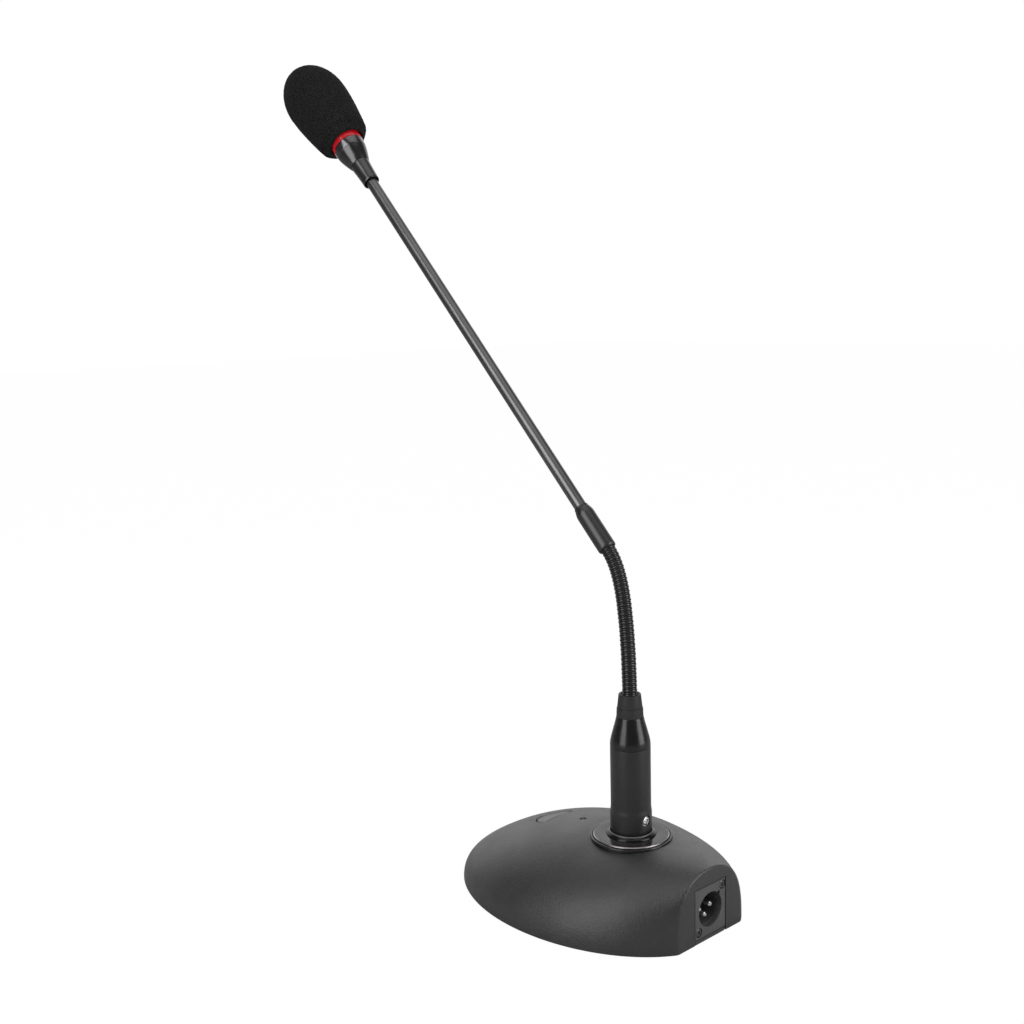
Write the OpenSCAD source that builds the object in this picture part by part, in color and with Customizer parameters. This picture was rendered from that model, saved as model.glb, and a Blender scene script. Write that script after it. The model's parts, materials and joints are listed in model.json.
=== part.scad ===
// Gooseneck desk microphone: plug-in stem with a flexible neck, on a domed desk base.
// Millimetres, +Z up. The origin is on the socket's axis, at the desk.
// +Y points to the rear output face, and the head leans towards -Y.

/* [Base] */
// height of the shell's rim above the desk, on its rubber pad
rim_gap = 0.8; // [0.5:0.1:3]
// full width of the base
base_w = 118; // [90:1:150]
// from the widest line forward to the nose
nose_len = 79.9; // [50:0.1:100]
// from the widest line back to where the plan ellipse would close
tail_len = 81.3; // [70:0.1:110]
// where the base is widest
widest_y = -24.7; // [-45:0.1:-10]
// the flat rear face
rear_y = 50; // [40:1:70]
// height of the dome's crest over the rim
crest_h = 37.3; // [30:0.1:45]
// where the crest is
crest_y = -13; // [-30:1:0]
// height of the arch at the rear face
arch_h = 35.3; // [28:0.1:40]
// shell thickness
wall = 2.6; // [1.5:0.1:4]

/* [Socket and barrel] */
// outer diameter of the stem's barrel
barrel_d = 20; // [18:0.1:22]
// top of the socket flange over the rim
flange_z = 38.1; // [35:0.1:45]
// outer diameter of the socket flange
flange_d = 38; // [30:0.5:50]
// how far the plug goes below the flange
plug_depth = 16; // [10:0.5:20]
// radius of the circle the three contacts stand on
contact_ring_r = 4; // [3:0.1:5]
// contact pin diameter
contact_d = 2.4; // [1.5:0.1:3]

/* [Output connector] */
// radius of the opening
output_r = 8.45; // [7:0.05:10]
// height of the opening's centre over the rim
output_z = 14.7; // [12:0.1:20]
// width of the connector plate
plate_w = 22; // [18:0.5:30]
// height of the connector plate
plate_h = 24.6; // [20:0.2:30]

/* [Button] */
// radius of the button's front arc
button_r = 10.25; // [7:0.05:14]
// where the arc's centre is, front to back
button_y = -54; // [-65:0.1:-45]
// where the button's straight edge is
button_edge_y = -51.5; // [-60:0.1:-42]
// tilt of the button's face
button_tilt = 15.4; // [0:0.1:30]
// how far the button stands out of the dome
button_out = 0.6; // [0:0.1:2]

/* [Neck] */
// gooseneck outer diameter
goose_d = 7.5; // [5:0.05:12]
// length of gooseneck that bends
goose_len = 75; // [50:1:300]
// height where the bend starts, over the rim
goose_z = 107.7; // [90:0.1:130]
// lean of the arm from vertical
arm_lean = 43.6; // [0:0.1:90]
// share of the lean that is spread evenly
even_share = 0.25; // [0:0.01:1]
// how sharply the rest of the lean gathers at the top
gather = 5.55; // [1:0.05:8]
// spacing of the gooseneck's turns
turn_pitch = 2.2; // [1:0.1:4]
// outer diameter of the rigid tube
tube_d = 6.5; // [5:0.1:10]

/* [Head] */
// length from the ferrule to the open end of the head sleeve
arm_len = 260.4; // [150:1:400]
// outer diameter of the light ring
ring_d = 18.8; // [16:0.2:26]
// widest diameter of the foam windscreen
foam_d = 36; // [28:1:45]
// length of the foam windscreen
foam_len = 58; // [40:1:80]
// sag of the foam from the arm's line
foam_sag = 2.8; // [0:0.1:5]

/* [Hidden] */
$fn = 64;
tip_y = widest_y - nose_len;
nose_p1 = 1.66;
nose_p2 = 1.64;
dome_a = 2.26;
dome_b = 2.04;
arch_a = 2;
arch_b = 3.7;
arch_hold = 44;
edge_r = 1.2;
seat_r = 20.55;
seat_z = 35.4;
links = 11;
link_power = 0.85;
link_gap = 0.5;
ball_r = 2.3;
ball_gap = 0.07;
bore_r = 0.9;
barrel_low_z = 38.7;
barrel_step_z = 52;
shoulder_z = 83.2;
boot_z = 98.4;
boot_top_z = 109.8;
screw_z = 46.8;
post_r = 3.6;
cover_t = 1.8;
pad_in = 8;
pad_out = 14;
housing_r = 13.2;
housing_low_z = 17;
spigot_r = 12.2;
plate_gap = 0.3;
ledge_z = 31.2;
shell_in_r = 9.4;
contact_gap = 0.02;
board_drop = 10;
board_t = 1.6;
led_y = -33.6;
led_r = 1.5;
led_z = 33.8;
mouth_depth = 2.8;
cup_depth = 14;
cup_step = 0.35;
button_z = dome_top(button_y - 3) + button_out;
arm_start = goose_len - link_s(links);
sleeve_u = arm_len;
cone_u = arm_len + 14.6;
band_u = arm_len + 24.4;
ring_u = arm_len + 29.5;
foam_u = arm_len + 36;
screw_spots = [[32, 8], [-32, 8], [27, -70], [-27, -70]];
board_spots = [[15, 18.5], [-15, 18.5], [15, -10.5], [-15, -10.5]];
plate_screws = [[-9, 24.1], [8.3, 5.5]];

// node to build, or all

// ---------- form of the dome ----------
function clamp0(x) = max(0, x);
// half width and height at y, both set in by g from the outer surface
function half_w(y, g = 0) = y < widest_y
  ? (base_w / 2 - g) * sqrt(clamp0(1 - pow((widest_y - y) / (nose_len - g), 2)))
  : base_w / 2 * sqrt(clamp0(1 - pow((y - widest_y) / tail_len, 2))) - g;
function dome_top(y, g = 0) = y < crest_y
  ? (crest_h - g) * pow(clamp0(1 - pow((crest_y - y) / (crest_y - tip_y - g), nose_p1)), 1 / nose_p2)
  : crest_h - g - (crest_h - arch_h) * pow((y - crest_y) / (rear_y - crest_y), 2);
function hold(y) = pow(clamp0((y - tip_y) / (rear_y - tip_y)), arch_hold);
function edge_in(y) = y > rear_y - edge_r
  ? edge_r - sqrt(clamp0(edge_r * edge_r - pow(y - rear_y + edge_r, 2))) : 0;
function signed_pow(v, p) = sign(v) * pow(abs(v), p);
function dome_point(y, t, inset) =
  let (a = dome_a + (arch_a - dome_a) * hold(y), b = dome_b + (arch_b - dome_b) * hold(y),
       w = clamp0(half_w(y, inset) - edge_in(y)), h = clamp0(dome_top(y, inset) - edge_in(y)))
  [w * signed_pow(cos(t), 2 / a), y, h * pow(clamp0(sin(t)), 2 / b)];

// closed dome between two stations, drawn as rings of points
module dome(inset, front, back, rings, steps, low) {
  points = [for (i = [0 : rings]) for (j = [0 : steps])
    let (y = front + (back - front) * (1 - cos(180 * i / rings)) / 2,
         p = dome_point(y, 180 * j / steps, inset))
    [p[0], p[1], j == 0 || j == steps ? low : max(low, p[2])]];
  s = steps + 1;
  sides = [for (i = [0 : rings - 1]) for (j = [0 : steps - 1]) for (k = [0, 1])
    k == 0 ? [i * s + j, i * s + j + 1, (i + 1) * s + j + 1]
           : [i * s + j, (i + 1) * s + j + 1, (i + 1) * s + j]];
  floors = [for (i = [0 : rings - 1]) for (k = [0, 1])
    k == 0 ? [i * s, (i + 1) * s, (i + 1) * s + steps] : [i * s, (i + 1) * s + steps, i * s + steps]];
  front_cap = [[for (j = [steps : -1 : 0]) j]];
  back_cap = [[for (j = [0 : steps]) rings * s + j]];
  polyhedron(points, concat(sides, floors, front_cap, back_cap), convexity = 4);
}

// plan outline of the base, set in from its edge
function plan_side(inset, front, back, n) = [for (i = [0 : n])
  let (y = front + (back - front) * (1 - cos(180 * i / n)) / 2) [clamp0(half_w(y, inset)), y]];
module plan_slab(inset, front, back, z, h) {
  right = plan_side(inset, front, back, 36);
  left = [for (i = [36 : -1 : 0]) [-right[i][0], right[i][1]]];
  translate([0, 0, z])
    linear_extrude(h)
      polygon(concat(right, left));
}

// ---------- helpers ----------
module lift() {
  translate([0, 0, rim_gap])
    children();
}

module ring_solid(r_out, r_in, z0, z1) {
  translate([0, 0, z0])
    difference() {
      cylinder(h = z1 - z0, r = r_out);
      translate([0, 0, -1])
        cylinder(h = z1 - z0 + 2, r = r_in);
    }
}

// solid of revolution from radius and height pairs
module turned(profile) {
  rotate_extrude()
    polygon(profile);
}

module cross_recess(size, depth) {
  for (a = [0, 90])
    rotate([0, 0, a])
      translate([-size / 2, -size / 8, -depth])
        cube([size, size / 4, depth + 1]);
}

// the three contacts of the connector, as seen on its face
module contact_spots(r) {
  for (a = [0, 180, 270])
    translate([r * cos(a), r * sin(a), 0])
      children();
}

// the button's outline, grown by g
module button_outline(g) {
  intersection() {
    circle(r = button_r + g);
    translate([-30, button_edge_y - button_y + g - 40])
      square([60, 40]);
    union() {
      translate([-30, -40])
        square([60, 40 + button_edge_y - button_y - 1.6]);
      for (s = [-1, 1])
        translate([s * 7.9, button_edge_y - button_y - 2])
          circle(r = 2 + g);
      translate([-7.9, button_edge_y - button_y - 2])
        square([15.8, 2 + g]);
    }
  }
}

module button_frame() {
  translate([0, button_y, button_z])
    rotate([button_tilt, 0, 0])
      children();
}

// ---------- neck geometry ----------
function lean_at(x) = arm_lean * (even_share * x + (1 - even_share) * pow(x, gather));
function link_s(k) = goose_len * pow((k - 0.5) / links, link_power);
function link_lean(k) = k <= 6
  ? lean_at(link_s(2 * floor((k + 1) / 2)) / goose_len)
  : lean_at((link_s(k) + link_s(k + 1)) / 2 / goose_len);
function link_dir(k) = k >= links ? [0, -sin(arm_lean), cos(arm_lean)]
  : [0, -sin(link_lean(k)), cos(link_lean(k))];
function link_pos(k) = k == 1 ? [0, 0, goose_z + link_s(1)]
  : link_pos(k - 1) + (link_s(k) - link_s(k - 1)) * link_dir(k - 1);

module link_frame(k) {
  translate(link_pos(k))
    rotate([k >= links ? arm_lean : link_lean(k), 0, 0])
      children();
}

// distance u runs from the lower end of the ferrule towards the head
module arm_frame(u) {
  link_frame(links)
    translate([0, 0, arm_start + u])
      children();
}

// gooseneck turns between two heights, with a core
module turns(z0, z1) {
  n = max(2, round((z1 - z0) / turn_pitch));
  step = (z1 - z0) / n;
  rotate_extrude()
    union() {
      translate([0, z0])
        square([goose_d / 2 - 0.45, z1 - z0]);
      for (i = [0 : n - 1])
        translate([goose_d / 2 - 0.85, z0 + step * (i + 0.5)])
          circle(r = 0.85, $fn = 32);
    }
}

module goose_link(k) {
  len = link_s(k + 1) - link_s(k);
  color([0.1, 0.1, 0.1])
    lift()
      link_frame(k)
        difference() {
          union() {
            turns(link_gap, len - link_gap);
            translate([0, 0, len])
              sphere(r = ball_r);
          }
          sphere(r = ball_r + ball_gap);
          translate([0, 0, -1])
            cylinder(h = len + 6, r = bore_r);
        }
}

// ---------- base ----------
module base_shell() {
  color([0.13, 0.13, 0.14])
    lift()
      difference() {
        union() {
          difference() {
            dome(0, tip_y, rear_y, 34, 30, 0);
            dome(wall, tip_y + wall, rear_y - wall, 20, 18, -1);
            translate([0, 0, -1])
              cylinder(h = 50, r = 15);
            translate([0, 0, seat_z])
              cylinder(h = 10, r = seat_r);
          }
          translate([0, 0, ledge_z])
            cylinder(h = seat_z - ledge_z, r = seat_r);
          for (p = screw_spots)
            translate([p[0], p[1], cover_t + 0.15])
              cylinder(h = p[1] > 0 ? 23.8 : 16, r = post_r);
          button_frame()
            for (p = board_spots)
              translate([p[0], p[1], -board_drop])
                cylinder(h = 6.9, r = 2.6);
          for (s = [[-14.6, 20.4], [5.6, 2.4]])
            translate([s[0], rear_y - 6.2, s[1]])
              cube([9, 3.6, 6.6]);
        }
        translate([0, 0, 20])
          cylinder(h = 30, r = housing_r + 0.4);
        for (p = screw_spots)
          translate([p[0], p[1], 1])
            cylinder(h = 13, r = 1.3);
        button_frame() {
          translate([0, 0, -8])
            linear_extrude(16)
              button_outline(0.35);
          for (p = board_spots)
            translate([p[0], p[1], -board_drop - 1])
              cylinder(h = 6, r = 1);
        }
        translate([0, led_y, 20])
          cylinder(h = 30, r = led_r + 0.35);
        translate([-plate_w / 2 - plate_gap, rear_y - 2.6, -1])
          cube([plate_w + 2 * plate_gap, 6, plate_h + 3.3 + plate_gap]);
        translate([-9.8, rear_y - 8, output_z - 9.8])
          cube([19.6, 4, 2]);
        for (p = plate_screws)
          translate([p[0], rear_y - 8, p[1]])
            rotate([-90, 0, 0])
              cylinder(h = 8, r = 0.95);
        translate([0, rear_y - 20, output_z])
          rotate([-90, 0, 0])
            cylinder(h = 19, r = 10.2);
      }
}

module bottom_cover() {
  color([0.1, 0.1, 0.11])
    lift()
      difference() {
        union() {
          plan_slab(3.1, tip_y + 3.1, rear_y - 3.2, 0, cover_t);
          translate([-plate_w / 2 + 0.1, rear_y - 6, 0])
            cube([plate_w - 0.2, 5.85, cover_t]);
        }
        for (p = screw_spots)
          translate([p[0], p[1], 0]) {
            translate([0, 0, -1])
              cylinder(h = 4, r = 1.6);
            translate([0, 0, -0.01])
              cylinder(h = 1.3, r1 = 3, r2 = 1.7);
          }
        pad_band(pad_in - 0.3, pad_out + 0.3, -1, 1.65);
      }
}

module ballast_plate() {
  color([0.55, 0.56, 0.58])
    lift()
      difference() {
        plan_slab(10, -84, 2.5, cover_t + 0.05, 5);
        for (p = screw_spots)
          translate([p[0], p[1], 0])
            cylinder(h = 10, r = post_r + 0.6);
      }
}

// closed band that follows the base's outline between two insets
module pad_band(g0, g1, z, h) {
  difference() {
    plan_slab(g0, tip_y + g0, rear_y - g0, z, h);
    plan_slab(g1, tip_y + g1, rear_y - g1, z - 1, h + 2);
  }
}

module rubber_pad() {
  color([0.05, 0.05, 0.05])
    pad_band(pad_in, pad_out, 0, rim_gap + 0.6);
}

module cover_screws() {
  color([0.2, 0.2, 0.21])
    lift()
      for (p = screw_spots)
        translate([p[0], p[1], 0])
          difference() {
            turned([[0, 0.1], [2.75, 0.1], [1.25, 1.4], [1.25, 11.3], [0.7, 12], [0, 12]]);
            translate([0, 0, 0.1])
              rotate([180, 0, 0])
                cross_recess(2.6, 0.8);
          }
}

// ---------- socket ----------
module socket_bezel() {
  color([0.09, 0.09, 0.1])
    lift()
      turned([[19.35, seat_z + 0.02], [20.45, seat_z + 0.02], [20.45, 36.7], [20.2, 37.2], [19.9, 37.4],
        [19.6, 37.4], [19.35, 37.1]]);
}

module socket_flange() {
  color([0.16, 0.15, 0.16])
    lift()
      turned([[12.25, seat_z + 0.02], [19.0, seat_z + 0.02], [19.0, flange_z - 0.45],
        [18.55, flange_z], [12.25, flange_z]]);
}

module socket_collar() {
  color([0.07, 0.07, 0.08])
    lift()
      turned([[10.75, 36.4], [spigot_r, 36.4], [spigot_r, 39.6], [11.8, 40], [11.4, 40], [10.75, 39.3]]);
}

module socket_housing() {
  color([0.12, 0.12, 0.13])
    lift()
      difference() {
        union() {
          translate([0, 0, housing_low_z])
            cylinder(h = seat_z - housing_low_z - 0.05, r = housing_r);
          translate([0, 0, housing_low_z])
            cylinder(h = seat_z - housing_low_z + 0.9, r = spigot_r);
        }
        translate([0, 0, 20])
          cylinder(h = 20, r = shell_in_r + 0.4);
        translate([0, 0, 10])
          cylinder(h = 20, r = 7.9);
      }
}

module socket_insert() {
  color([0.06, 0.06, 0.06])
    lift()
      difference() {
        union() {
          translate([0, 0, 18.5])
            cylinder(h = 18, r = 7.7);
          translate([0, 0, 20.05])
            cylinder(h = 1.2, r = 9.6);
        }
        contact_spots(contact_ring_r)
          translate([0, 0, 10])
            cylinder(h = 40, r = 1.9);
        translate([0, 7.7, 18])
          cylinder(h = 20, r = 1.1);
      }
}

module socket_contacts() {
  color([0.8, 0.72, 0.5])
    lift()
      contact_spots(contact_ring_r)
        difference() {
          union() {
            translate([0, 0, 19.5])
              cylinder(h = 16.4, r = 1.85);
            translate([0, 0, 15.5])
              cylinder(h = 4.5, r = 0.8);
          }
          translate([0, 0, 21.5])
            cylinder(h = 20, r = 1.26);
        }
}

module socket_nut() {
  color([0.6, 0.6, 0.62])
    lift()
      difference() {
        ring_solid(17.5, housing_r + 0.05, 27.4, ledge_z - 0.05);
        for (a = [0 : 45 : 315])
          rotate([0, 0, a])
            translate([16.4, -1.6, 27])
              cube([3, 3.2, 5]);
      }
}

// ---------- output connector ----------
module output_plate() {
  color([0.14, 0.14, 0.15])
    lift()
      difference() {
        union() {
          translate([-plate_w / 2, rear_y - 2.5, 2.3])
            cube([plate_w, 2.5, plate_h]);
          translate([0, rear_y - 17, output_z])
            rotate([-90, 0, 0])
              cylinder(h = 16, r = 9.9);
        }
        translate([0, rear_y - mouth_depth, output_z])
          rotate([-90, 0, 0])
            cylinder(h = 10, r = output_r);
        translate([0, rear_y - cup_depth, output_z])
          rotate([-90, 0, 0])
            cylinder(h = 20, r = output_r - cup_step);
        translate([0, rear_y - 20, output_z])
          rotate([-90, 0, 0])
            cylinder(h = 10, r = 7.2);
        translate([-6.1, rear_y - 3, output_z + 6.1])
          rotate([-90, 0, 0])
            cylinder(h = 5, r = 1.1);
        for (p = plate_screws)
          translate([p[0], rear_y, p[1]])
            rotate([90, 0, 0]) {
              translate([0, 0, -1])
                cylinder(h = 2.1, r = 2.3);
              cylinder(h = 6, r = 1.15);
            }
      }
}

module output_insert() {
  color([0.05, 0.05, 0.05])
    lift()
      translate([0, rear_y, output_z])
        rotate([90, 0, 0])
          difference() {
            union() {
              translate([0, 0, cup_depth - 1.7])
                cylinder(h = 1.65, r = output_r - cup_step - 0.05);
              translate([0, 0, cup_depth - 1])
                cylinder(h = 5, r = 7.1);
            }
            contact_spots(contact_ring_r)
              cylinder(h = 30, r = contact_d / 2 + contact_gap);
          }
}

module output_pins() {
  color([0.85, 0.85, 0.86])
    lift()
      translate([0, rear_y, output_z])
        rotate([90, 0, 0])
          contact_spots(contact_ring_r)
            turned([[0, 3], [0.7, 3], [contact_d / 2, 3.6], [contact_d / 2, 19], [0.6, 19], [0.6, 21.5],
              [0, 21.5]]);
}

module output_screws() {
  color([0.1, 0.1, 0.1])
    lift()
      for (p = plate_screws)
        translate([p[0], rear_y - 0.1, p[1]])
          rotate([-90, 0, 0])
            difference() {
              turned([[0, -7], [0.5, -7], [0.9, -6.5], [0.9, -0.95], [2.05, -0.95], [2.05, -0.35],
                [1.6, 0], [0, 0]]);
              rotate([0, 0, 45])
                cross_recess(2.4, 0.6);
            }
}

// ---------- board, light and switch ----------
module status_led() {
  color([0.35, 0.05, 0.05])
    lift()
      translate([0, led_y, 0])
        union() {
          translate([0, 0, led_z - 3.6])
            cylinder(h = 3.6, r = led_r);
          translate([0, 0, led_z])
            intersection() {
              sphere(r = led_r);
              translate([-led_r, -led_r, 0])
                cube(2 * led_r);
            }
          for (s = [-0.9, 0.9])
            translate([s, 0, 26])
              cylinder(h = led_z - 29, r = 0.3);
        }
}

module circuit_board() {
  color([0.05, 0.3, 0.14])
    lift()
      button_frame()
        difference() {
          translate([-20, -14, -board_drop - board_t])
            cube([40, 37, board_t]);
          for (p = board_spots)
            translate([p[0], p[1], -board_drop - 5])
              cylinder(h = 10, r = 1.3);
        }
}

module board_screws() {
  color([0.7, 0.7, 0.72])
    lift()
      button_frame()
        for (p = board_spots)
          translate([p[0], p[1], -board_drop - board_t])
            difference() {
              turned([[0, -1.5], [2, -1.5], [2.2, -1.2], [2.2, 0], [0.95, 0], [0.95, 6], [0, 6]]);
              translate([0, 0, -1.5])
                rotate([180, 0, 0])
                  cross_recess(2.2, 0.7);
            }
}

module button_switch() {
  color([0.08, 0.08, 0.08])
    lift()
      button_frame()
        difference() {
          translate([-3, -6, -board_drop + 0.02])
            cube([6, 6, 3.5]);
          translate([0, -3, -board_drop + 0.7])
            cylinder(h = 6, r = 1.75);
        }
}

module switch_plunger() {
  color([0.7, 0.68, 0.6])
    lift()
      button_frame()
        translate([0, -3, -7.6])
          cylinder(h = 2.7, r = 1.7);
}

module talk_button() {
  color([0.15, 0.15, 0.16])
    lift()
      button_frame()
        union() {
          intersection() {
            translate([0, 0, -3.6])
              linear_extrude(7)
                button_outline(0);
            translate([0, -3.2, 0.45 - 90])
              sphere(r = 90, $fn = 96);
          }
          translate([0, -1, -4.9])
            linear_extrude(1.31)
              intersection() {
                circle(r = button_r + 1);
                translate([-30, button_edge_y - button_y + 1.9 - 40])
                  square([60, 40]);
              }
        }
}

// ---------- stem that plugs in ----------
module connector_barrel() {
  color([0.1, 0.1, 0.11])
    lift()
      difference() {
        turned([[shell_in_r + 0.04, barrel_low_z], [9.65, barrel_low_z], [9.85, barrel_low_z + 0.9],
          [10.35, barrel_low_z + 2.4], [10.35, barrel_step_z - 2], [barrel_d / 2, barrel_step_z],
          [barrel_d / 2, shoulder_z],
          [8.4, shoulder_z], [8.4, 60], [shell_in_r + 0.04, 59]]);
        translate([0, 0, screw_z])
          rotate([-90, 0, 0])
            cylinder(h = 20, r = 2.75);
      }
}

module plug_shell() {
  color([0.72, 0.72, 0.74])
    lift()
      difference() {
        turned([[8.3, flange_z - plug_depth], [9.2, flange_z - plug_depth],
          [shell_in_r, flange_z - plug_depth + 0.4], [shell_in_r, 58], [8.3, 58]]);
        translate([0, 0, screw_z])
          rotate([-90, 0, 0])
            cylinder(h = 20, r = 1.65);
      }
}

module plug_insert() {
  color([0.06, 0.06, 0.06])
    lift()
      difference() {
        translate([0, 0, 38.4])
          cylinder(h = 5.6, r = 8.25);
        contact_spots(contact_ring_r)
          cylinder(h = 60, r = contact_d / 2 + contact_gap);
      }
}

module plug_pins() {
  color([0.85, 0.85, 0.86])
    lift()
      contact_spots(contact_ring_r)
        turned([[0, 23.5], [0.7, 23.5], [contact_d / 2, 24.3], [contact_d / 2, 45.5], [0.8, 45.5],
          [0.8, 49], [0, 49]]);
}

module set_screw() {
  color([0.85, 0.85, 0.87])
    lift()
      translate([0, 0, screw_z])
        rotate([-90, 0, 0])
          difference() {
            turned([[0, 8], [1.6, 8], [1.6, 9.46], [2.1, 9.46], [2.1, 9.9], [1.7, 10.2], [0, 10.35]]);
            translate([0, 0, 10.35])
              rotate([0, 0, 30])
                cross_recess(2.6, 0.9);
          }
}

module barrel_shoulder() {
  color([0.05, 0.05, 0.05])
    lift()
      turned([[4.6, shoulder_z + 0.02], [barrel_d / 2 + 0.05, shoulder_z + 0.02], [10.03, shoulder_z + 1.7],
        [9.83, 86.4], [9.38, 88.4], [8.82, 90.4], [8.28, 92.5], [7.68, 94.5], [7.18, 96.5], [6.8, boot_z],
        [4.6, boot_z]]);
}

module flex_boot() {
  color([0.12, 0.12, 0.12])
    lift()
      turned([[4.2, boot_z + 0.02], [6.65, boot_z + 0.02], [6.48, 102.6], [6, 102.9], [6, 103.4],
        [6.15, 103.6], [5.62, 108.6], [5.4, 109.4], [4.95, boot_top_z], [4.6, boot_top_z], [4.2, 109.4]]);
}

module gooseneck_root() {
  color([0.1, 0.1, 0.1])
    lift()
      difference() {
        union() {
          turns(92, link_pos(1)[2] - link_gap);
          translate(link_pos(1))
            sphere(r = ball_r);
          translate([0, 0, 84.4])
            cylinder(h = 8, r = 4.5);
        }
        translate([0, 0, 80])
          cylinder(h = 60, r = bore_r);
      }
}

// ---------- arm and head ----------
module gooseneck_end() {
  color([0.1, 0.1, 0.1])
    lift()
      link_frame(links)
        difference() {
          turns(link_gap, arm_start + 13);
          sphere(r = ball_r + ball_gap);
          translate([0, 0, -1])
            cylinder(h = 40, r = bore_r);
        }
}

module ferrule() {
  color([0.14, 0.14, 0.15])
    lift()
      arm_frame(0)
        turned([[3.8, 0.3], [4.0, 0.05], [4.25, 0.05], [4.6, 1], [4.66, 3], [4.66, 21.4], [4.3, 23.2],
          [3.75, 25.1], [3.6, 25.2], [3.6, 25.45], [3.7, 25.5], [3.6, 26], [3.3, 26], [3.3, 14],
          [3.8, 13.8]]);
}

module rigid_tube() {
  color([0.09, 0.09, 0.1])
    lift()
      arm_frame(0)
        ring_solid(tube_d / 2, tube_d / 2 - 0.8, 14.1, cone_u - 1);
}

module head_sleeve() {
  color([0.24, 0.24, 0.25])
    lift()
      arm_frame(0)
        turned([[4.15, sleeve_u], [4.55, sleeve_u], [4.75, sleeve_u + 0.3], [4.85, sleeve_u + 4],
          [5.1, sleeve_u + 8.5], [5.5, cone_u - 0.02], [3.3, cone_u - 0.02], [3.3, cone_u - 6],
          [4.15, cone_u - 7]]);
}

module head_cone() {
  color([0.28, 0.28, 0.3])
    lift()
      arm_frame(0)
        turned([[3.2, cone_u], [5.65, cone_u], [6.6, cone_u + 2.6], [7.85, cone_u + 6.8],
          [8.57, band_u - 0.02], [7.5, band_u - 0.02], [4.6, cone_u + 3], [3.2, cone_u + 3]]);
}

module head_band() {
  color([0.34, 0.33, 0.35])
    lift()
      arm_frame(0)
        turned([[7.5, band_u], [8.6, band_u], [8.9, band_u + 2.2], [9.15, ring_u - 0.25],
          [9.0, ring_u - 0.02], [7.5, ring_u - 0.02]]);
}

module light_ring() {
  color([0.75, 0.08, 0.08])
    lift()
      arm_frame(0)
        turned([[8.6, ring_u], [ring_d / 2 - 0.2, ring_u], [ring_d / 2, ring_u + 0.2],
          [ring_d / 2, ring_u + 7.2], [ring_d / 2 - 0.5, ring_u + 7.7], [8.6, ring_u + 7.7]]);
}

module ring_led_board() {
  color([0.05, 0.3, 0.14])
    lift()
      arm_frame(0)
        union() {
          ring_solid(8.4, 5, ring_u + 0.1, ring_u + 1.1);
          for (a = [0 : 60 : 300])
            rotate([0, 0, a])
              translate([5.9, -0.8, ring_u + 1.05])
                cube([1.6, 1.6, 0.8]);
        }
}

module capsule_housing() {
  color([0.3, 0.3, 0.32])
    lift()
      arm_frame(0)
        difference() {
          turned([[7.4, ring_u + 2.2], [8.55, ring_u + 2.2], [8.55, ring_u + 7.8], [9, ring_u + 7.8],
            [9, ring_u + 34], [8.6, ring_u + 34.4], [7.4, ring_u + 34.4]]);
          for (a = [0 : 45 : 315])
            rotate([0, 0, a])
              translate([6, -0.9, ring_u + 14])
                cube([5, 1.8, 9]);
        }
}

module capsule_gasket() {
  color([0.06, 0.06, 0.06])
    lift()
      arm_frame(0)
        ring_solid(7.35, 4.9, ring_u + 24.5, ring_u + 25.6);
}

module capsule() {
  color([0.75, 0.75, 0.77])
    lift()
      arm_frame(0)
        difference() {
          translate([0, 0, ring_u + 25.65])
            cylinder(h = 6.3, r = 7.1);
          for (a = [0 : 60 : 300])
            rotate([0, 0, a])
              translate([3.5, 0, ring_u + 31.2])
                cylinder(h = 3, r = 0.6);
          translate([0, 0, ring_u + 31.2])
            cylinder(h = 3, r = 0.6);
        }
}

module capsule_grille() {
  color([0.5, 0.5, 0.52])
    lift()
      arm_frame(0)
        difference() {
          translate([0, 0, ring_u + 33])
            cylinder(h = 0.9, r = 7.35);
          for (n = [0 : 2])
            for (a = [0 : 60 / max(1, n) : 359])
              rotate([0, 0, a])
                translate([n * 2.4, 0, ring_u + 32])
                  cylinder(h = 4, r = 0.75, $fn = 24);
        }
}

module foam_windscreen() {
  color([0.07, 0.07, 0.07])
    lift()
      arm_frame(foam_u)
        difference() {
          rotate([foam_sag, 0, 0])
            rotate_extrude()
              polygon(concat([[0, -3.4], [10.5, -3.4], [11.1, -3.1], [12.2, -1], [13.2, 0.1]],
                [[14, 0.7], [14.7, 1.4]],
                [for (i = [1 : 8]) [14.9 + (foam_d / 2 - 14.9) * sin(90 * i / 8), 1.3 + 32.8 * i / 8]],
                [for (i = [1 : 12]) [foam_d / 2 * pow(1 - pow(i / 12, 2), 0.5),
                  34.1 + (foam_len - 34.1) * i / 12]]));
          translate([0, 0, -6])
            cylinder(h = 9.4, r = ring_d / 2 + 0.3);
          translate([0, 0, -6])
            cylinder(h = 36.3, r = 9.25);
        }
}

base_shell();
bottom_cover();
ballast_plate();
rubber_pad();
cover_screws();
socket_bezel();
socket_flange();
socket_collar();
socket_housing();
socket_insert();
socket_contacts();
socket_nut();
output_plate();
output_insert();
output_pins();
output_screws();
status_led();
button_switch();
circuit_board();
board_screws();
talk_button();
switch_plunger();
connector_barrel();
plug_shell();
plug_insert();
plug_pins();
set_screw();
barrel_shoulder();
flex_boot();
gooseneck_root();
goose_link(1);  // goose_link_1
goose_link(2);  // goose_link_2
goose_link(3);  // goose_link_3
goose_link(4);  // goose_link_4
goose_link(5);  // goose_link_5
goose_link(6);  // goose_link_6
goose_link(7);  // goose_link_7
goose_link(8);  // goose_link_8
goose_link(9);  // goose_link_9
goose_link(10);  // goose_link_10
gooseneck_end();
ferrule();
rigid_tube();
head_sleeve();
head_cone();
head_band();
light_ring();
ring_led_board();
capsule_housing();
capsule_gasket();
capsule();
capsule_grille();
foam_windscreen();
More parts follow.
